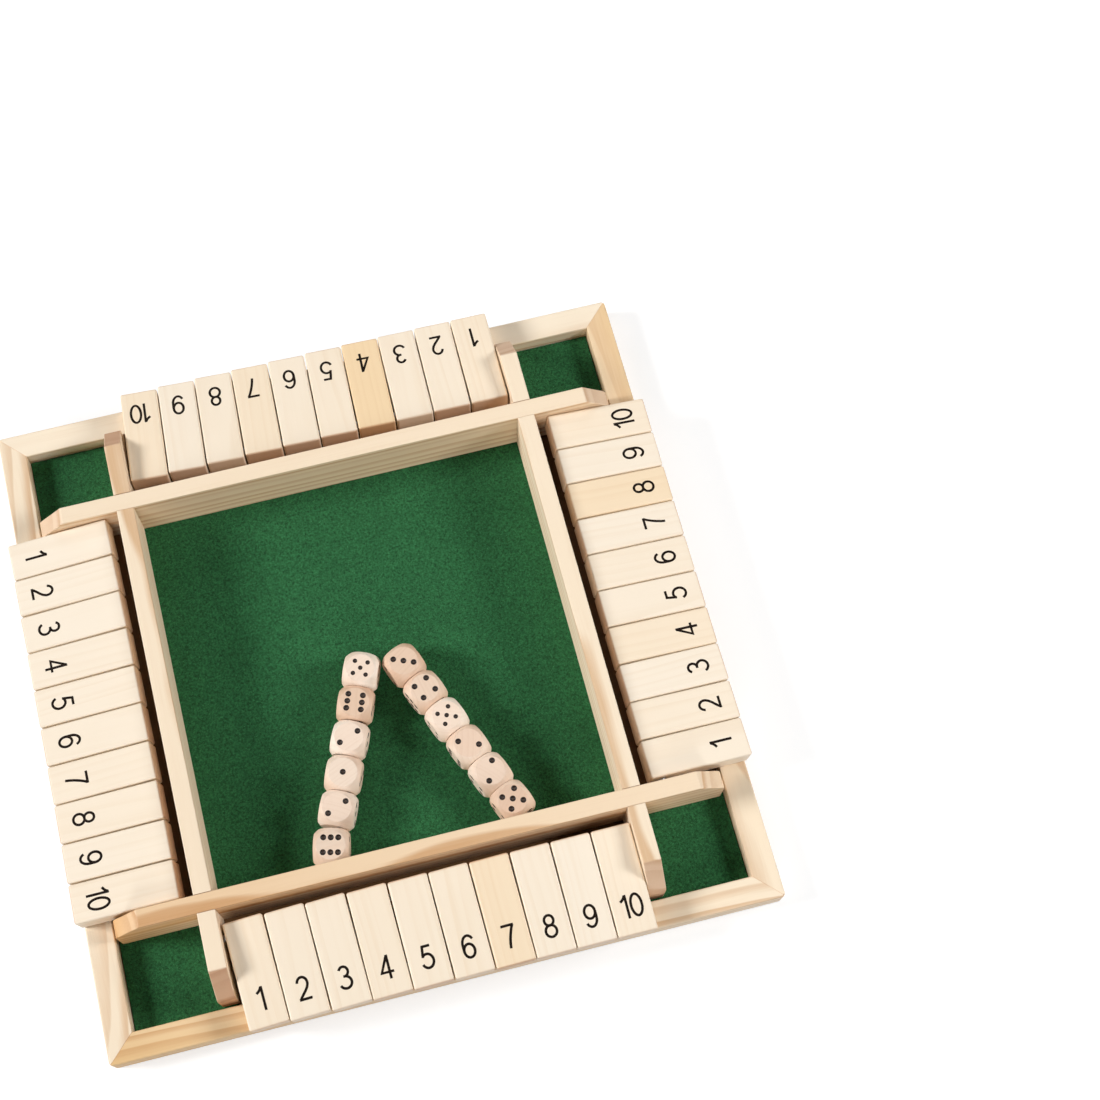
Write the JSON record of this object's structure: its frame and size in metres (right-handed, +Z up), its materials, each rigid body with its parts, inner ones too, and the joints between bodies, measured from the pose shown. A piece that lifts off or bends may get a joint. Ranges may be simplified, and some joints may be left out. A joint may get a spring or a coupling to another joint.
{
  "type": "shut the box game",
  "caption": "Square wooden dice tray for four players, with a row of numbered flip tiles on a steel rod along each side, a felt floor, corner pockets and loose wooden dice.",
  "frame": {"origin": "middle of the underside of the tray", "axes": "+Z up, +X to the right along the front side, +Y towards the back"},
  "size_m": [0.3039, 0.3047, 0.032],
  "materials": {
    "pine": "bare sanded pale pine",
    "basswood": "bare sanded pale basswood",
    "beech": "bare tumbled hardwood",
    "plywood": "bare thin plywood",
    "felt": "pressed wool felt",
    "steel": "drawn bright wire rod"
  },
  "bodies": {
    "tray": {"base_board": "plywood", "felt": "felt", "outer_frame": "pine", "inner_lattice": "pine", "rod_front": "steel", "rod_right": "steel", "rod_back": "steel", "rod_left": "steel"},
    "flip_front_1": {"tile_front_1": "basswood"},
    "flip_front_2": {"tile_front_2": "basswood"},
    "flip_front_3": {"tile_front_3": "basswood"},
    "flip_front_4": {"tile_front_4": "basswood"},
    "flip_front_5": {"tile_front_5": "basswood"},
    "flip_front_6": {"tile_front_6": "basswood"},
    "flip_front_7": {"tile_front_7": "basswood"},
    "flip_front_8": {"tile_front_8": "basswood"},
    "flip_front_9": {"tile_front_9": "basswood"},
    "flip_front_10": {"tile_front_10": "basswood"},
    "flip_right_1": {"tile_right_1": "basswood"},
    "flip_right_2": {"tile_right_2": "basswood"},
    "flip_right_3": {"tile_right_3": "basswood"},
    "flip_right_4": {"tile_right_4": "basswood"},
    "flip_right_5": {"tile_right_5": "basswood"},
    "flip_right_6": {"tile_right_6": "basswood"},
    "flip_right_7": {"tile_right_7": "basswood"},
    "flip_right_8": {"tile_right_8": "basswood"},
    "flip_right_9": {"tile_right_9": "basswood"},
    "flip_right_10": {"tile_right_10": "basswood"},
    "flip_back_1": {"tile_back_1": "basswood"},
    "flip_back_2": {"tile_back_2": "basswood"},
    "flip_back_3": {"tile_back_3": "basswood"},
    "flip_back_4": {"tile_back_4": "basswood"},
    "flip_back_5": {"tile_back_5": "basswood"},
    "flip_back_6": {"tile_back_6": "basswood"},
    "flip_back_7": {"tile_back_7": "basswood"},
    "flip_back_8": {"tile_back_8": "basswood"},
    "flip_back_9": {"tile_back_9": "basswood"},
    "flip_back_10": {"tile_back_10": "basswood"},
    "flip_left_1": {"tile_left_1": "basswood"},
    "flip_left_2": {"tile_left_2": "basswood"},
    "flip_left_3": {"tile_left_3": "basswood"},
    "flip_left_4": {"tile_left_4": "basswood"},
    "flip_left_5": {"tile_left_5": "basswood"},
    "flip_left_6": {"tile_left_6": "basswood"},
    "flip_left_7": {"tile_left_7": "basswood"},
    "flip_left_8": {"tile_left_8": "basswood"},
    "flip_left_9": {"tile_left_9": "basswood"},
    "flip_left_10": {"tile_left_10": "basswood"},
    "loose_die_1": {"die_1": "beech"},
    "loose_die_2": {"die_2": "beech"},
    "loose_die_3": {"die_3": "beech"},
    "loose_die_4": {"die_4": "beech"},
    "loose_die_5": {"die_5": "beech"},
    "loose_die_6": {"die_6": "beech"},
    "loose_die_7": {"die_7": "beech"},
    "loose_die_8": {"die_8": "beech"},
    "loose_die_9": {"die_9": "beech"},
    "loose_die_10": {"die_10": "beech"},
    "loose_die_11": {"die_11": "beech"},
    "loose_die_12": {"die_12": "beech"}
  },
  "joints": [
    {"name": "hinge_front_1", "type": "hinge", "parent": "tray", "child": "flip_front_1", "pos_m": [0, -0.11028, 0.021], "axis": [-1, 0, 0], "range_deg": [0, 117]},
    {"name": "hinge_front_2", "type": "hinge", "parent": "tray", "child": "flip_front_2", "pos_m": [0, -0.11028, 0.021], "axis": [-1, 0, 0], "range_deg": [0, 117]},
    {"name": "hinge_front_3", "type": "hinge", "parent": "tray", "child": "flip_front_3", "pos_m": [0, -0.11028, 0.021], "axis": [-1, 0, 0], "range_deg": [0, 117]},
    {"name": "hinge_front_4", "type": "hinge", "parent": "tray", "child": "flip_front_4", "pos_m": [0, -0.11028, 0.021], "axis": [-1, 0, 0], "range_deg": [0, 117]},
    {"name": "hinge_front_5", "type": "hinge", "parent": "tray", "child": "flip_front_5", "pos_m": [0, -0.11028, 0.021], "axis": [-1, 0, 0], "range_deg": [0, 117]},
    {"name": "hinge_front_6", "type": "hinge", "parent": "tray", "child": "flip_front_6", "pos_m": [0, -0.11028, 0.021], "axis": [-1, 0, 0], "range_deg": [0, 117]},
    {"name": "hinge_front_7", "type": "hinge", "parent": "tray", "child": "flip_front_7", "pos_m": [0, -0.11028, 0.021], "axis": [-1, 0, 0], "range_deg": [0, 117]},
    {"name": "hinge_front_8", "type": "hinge", "parent": "tray", "child": "flip_front_8", "pos_m": [0, -0.11028, 0.021], "axis": [-1, 0, 0], "range_deg": [0, 117]},
    {"name": "hinge_front_9", "type": "hinge", "parent": "tray", "child": "flip_front_9", "pos_m": [0, -0.11028, 0.021], "axis": [-1, 0, 0], "range_deg": [0, 117]},
    {"name": "hinge_front_10", "type": "hinge", "parent": "tray", "child": "flip_front_10", "pos_m": [0, -0.11028, 0.021], "axis": [-1, 0, 0], "range_deg": [0, 117]},
    {"name": "hinge_right_1", "type": "hinge", "parent": "tray", "child": "flip_right_1", "pos_m": [0.11052, 0, 0.021], "axis": [0, -1, 0], "range_deg": [0, 117]},
    {"name": "hinge_right_2", "type": "hinge", "parent": "tray", "child": "flip_right_2", "pos_m": [0.11052, 0, 0.021], "axis": [0, -1, 0], "range_deg": [0, 117]},
    {"name": "hinge_right_3", "type": "hinge", "parent": "tray", "child": "flip_right_3", "pos_m": [0.11052, 0, 0.021], "axis": [0, -1, 0], "range_deg": [0, 117]},
    {"name": "hinge_right_4", "type": "hinge", "parent": "tray", "child": "flip_right_4", "pos_m": [0.11052, 0, 0.021], "axis": [0, -1, 0], "range_deg": [0, 117]},
    {"name": "hinge_right_5", "type": "hinge", "parent": "tray", "child": "flip_right_5", "pos_m": [0.11052, 0, 0.021], "axis": [0, -1, 0], "range_deg": [0, 117]},
    {"name": "hinge_right_6", "type": "hinge", "parent": "tray", "child": "flip_right_6", "pos_m": [0.11052, 0, 0.021], "axis": [0, -1, 0], "range_deg": [0, 117]},
    {"name": "hinge_right_7", "type": "hinge", "parent": "tray", "child": "flip_right_7", "pos_m": [0.11052, 0, 0.021], "axis": [0, -1, 0], "range_deg": [0, 117]},
    {"name": "hinge_right_8", "type": "hinge", "parent": "tray", "child": "flip_right_8", "pos_m": [0.11052, 0, 0.021], "axis": [0, -1, 0], "range_deg": [0, 117]},
    {"name": "hinge_right_9", "type": "hinge", "parent": "tray", "child": "flip_right_9", "pos_m": [0.11052, 0, 0.021], "axis": [0, -1, 0], "range_deg": [0, 117]},
    {"name": "hinge_right_10", "type": "hinge", "parent": "tray", "child": "flip_right_10", "pos_m": [0.11052, 0, 0.021], "axis": [0, -1, 0], "range_deg": [0, 117]},
    {"name": "hinge_back_1", "type": "hinge", "parent": "tray", "child": "flip_back_1", "pos_m": [0, 0.11112, 0.021], "axis": [1, 0, 0], "range_deg": [0, 117]},
    {"name": "hinge_back_2", "type": "hinge", "parent": "tray", "child": "flip_back_2", "pos_m": [0, 0.11112, 0.021], "axis": [1, 0, 0], "range_deg": [0, 117]},
    {"name": "hinge_back_3", "type": "hinge", "parent": "tray", "child": "flip_back_3", "pos_m": [0, 0.11112, 0.021], "axis": [1, 0, 0], "range_deg": [0, 117]},
    {"name": "hinge_back_4", "type": "hinge", "parent": "tray", "child": "flip_back_4", "pos_m": [0, 0.11112, 0.021], "axis": [1, 0, 0], "range_deg": [0, 117]},
    {"name": "hinge_back_5", "type": "hinge", "parent": "tray", "child": "flip_back_5", "pos_m": [0, 0.11112, 0.021], "axis": [1, 0, 0], "range_deg": [0, 117]},
    {"name": "hinge_back_6", "type": "hinge", "parent": "tray", "child": "flip_back_6", "pos_m": [0, 0.11112, 0.021], "axis": [1, 0, 0], "range_deg": [0, 117]},
    {"name": "hinge_back_7", "type": "hinge", "parent": "tray", "child": "flip_back_7", "pos_m": [0, 0.11112, 0.021], "axis": [1, 0, 0], "range_deg": [0, 117]},
    {"name": "hinge_back_8", "type": "hinge", "parent": "tray", "child": "flip_back_8", "pos_m": [0, 0.11112, 0.021], "axis": [1, 0, 0], "range_deg": [0, 117]},
    {"name": "hinge_back_9", "type": "hinge", "parent": "tray", "child": "flip_back_9", "pos_m": [0, 0.11112, 0.021], "axis": [1, 0, 0], "range_deg": [0, 117]},
    {"name": "hinge_back_10", "type": "hinge", "parent": "tray", "child": "flip_back_10", "pos_m": [0, 0.11112, 0.021], "axis": [1, 0, 0], "range_deg": [0, 117]},
    {"name": "hinge_left_1", "type": "hinge", "parent": "tray", "child": "flip_left_1", "pos_m": [-0.11058, 0, 0.021], "axis": [0, 1, 0], "range_deg": [0, 117]},
    {"name": "hinge_left_2", "type": "hinge", "parent": "tray", "child": "flip_left_2", "pos_m": [-0.11058, 0, 0.021], "axis": [0, 1, 0], "range_deg": [0, 117]},
    {"name": "hinge_left_3", "type": "hinge", "parent": "tray", "child": "flip_left_3", "pos_m": [-0.11058, 0, 0.021], "axis": [0, 1, 0], "range_deg": [0, 117]},
    {"name": "hinge_left_4", "type": "hinge", "parent": "tray", "child": "flip_left_4", "pos_m": [-0.11058, 0, 0.021], "axis": [0, 1, 0], "range_deg": [0, 117]},
    {"name": "hinge_left_5", "type": "hinge", "parent": "tray", "child": "flip_left_5", "pos_m": [-0.11058, 0, 0.021], "axis": [0, 1, 0], "range_deg": [0, 117]},
    {"name": "hinge_left_6", "type": "hinge", "parent": "tray", "child": "flip_left_6", "pos_m": [-0.11058, 0, 0.021], "axis": [0, 1, 0], "range_deg": [0, 117]},
    {"name": "hinge_left_7", "type": "hinge", "parent": "tray", "child": "flip_left_7", "pos_m": [-0.11058, 0, 0.021], "axis": [0, 1, 0], "range_deg": [0, 117]},
    {"name": "hinge_left_8", "type": "hinge", "parent": "tray", "child": "flip_left_8", "pos_m": [-0.11058, 0, 0.021], "axis": [0, 1, 0], "range_deg": [0, 117]},
    {"name": "hinge_left_9", "type": "hinge", "parent": "tray", "child": "flip_left_9", "pos_m": [-0.11058, 0, 0.021], "axis": [0, 1, 0], "range_deg": [0, 117]},
    {"name": "hinge_left_10", "type": "hinge", "parent": "tray", "child": "flip_left_10", "pos_m": [-0.11058, 0, 0.021], "axis": [0, 1, 0], "range_deg": [0, 117]},
    {"name": "lift_die_1", "type": "slide", "parent": "tray", "child": "loose_die_1", "axis": [0, 0, 1], "range_m": [0, 0.06]},
    {"name": "lift_die_2", "type": "slide", "parent": "tray", "child": "loose_die_2", "axis": [0, 0, 1], "range_m": [0, 0.06]},
    {"name": "lift_die_3", "type": "slide", "parent": "tray", "child": "loose_die_3", "axis": [0, 0, 1], "range_m": [0, 0.06]},
    {"name": "lift_die_4", "type": "slide", "parent": "tray", "child": "loose_die_4", "axis": [0, 0, 1], "range_m": [0, 0.06]},
    {"name": "lift_die_5", "type": "slide", "parent": "tray", "child": "loose_die_5", "axis": [0, 0, 1], "range_m": [0, 0.06]},
    {"name": "lift_die_6", "type": "slide", "parent": "tray", "child": "loose_die_6", "axis": [0, 0, 1], "range_m": [0, 0.06]},
    {"name": "lift_die_7", "type": "slide", "parent": "tray", "child": "loose_die_7", "axis": [0, 0, 1], "range_m": [0, 0.06]},
    {"name": "lift_die_8", "type": "slide", "parent": "tray", "child": "loose_die_8", "axis": [0, 0, 1], "range_m": [0, 0.06]},
    {"name": "lift_die_9", "type": "slide", "parent": "tray", "child": "loose_die_9", "axis": [0, 0, 1], "range_m": [0, 0.06]},
    {"name": "lift_die_10", "type": "slide", "parent": "tray", "child": "loose_die_10", "axis": [0, 0, 1], "range_m": [0, 0.06]},
    {"name": "lift_die_11", "type": "slide", "parent": "tray", "child": "loose_die_11", "axis": [0, 0, 1], "range_m": [0, 0.06]},
    {"name": "lift_die_12", "type": "slide", "parent": "tray", "child": "loose_die_12", "axis": [0, 0, 1], "range_m": [0, 0.06]}
  ]
}
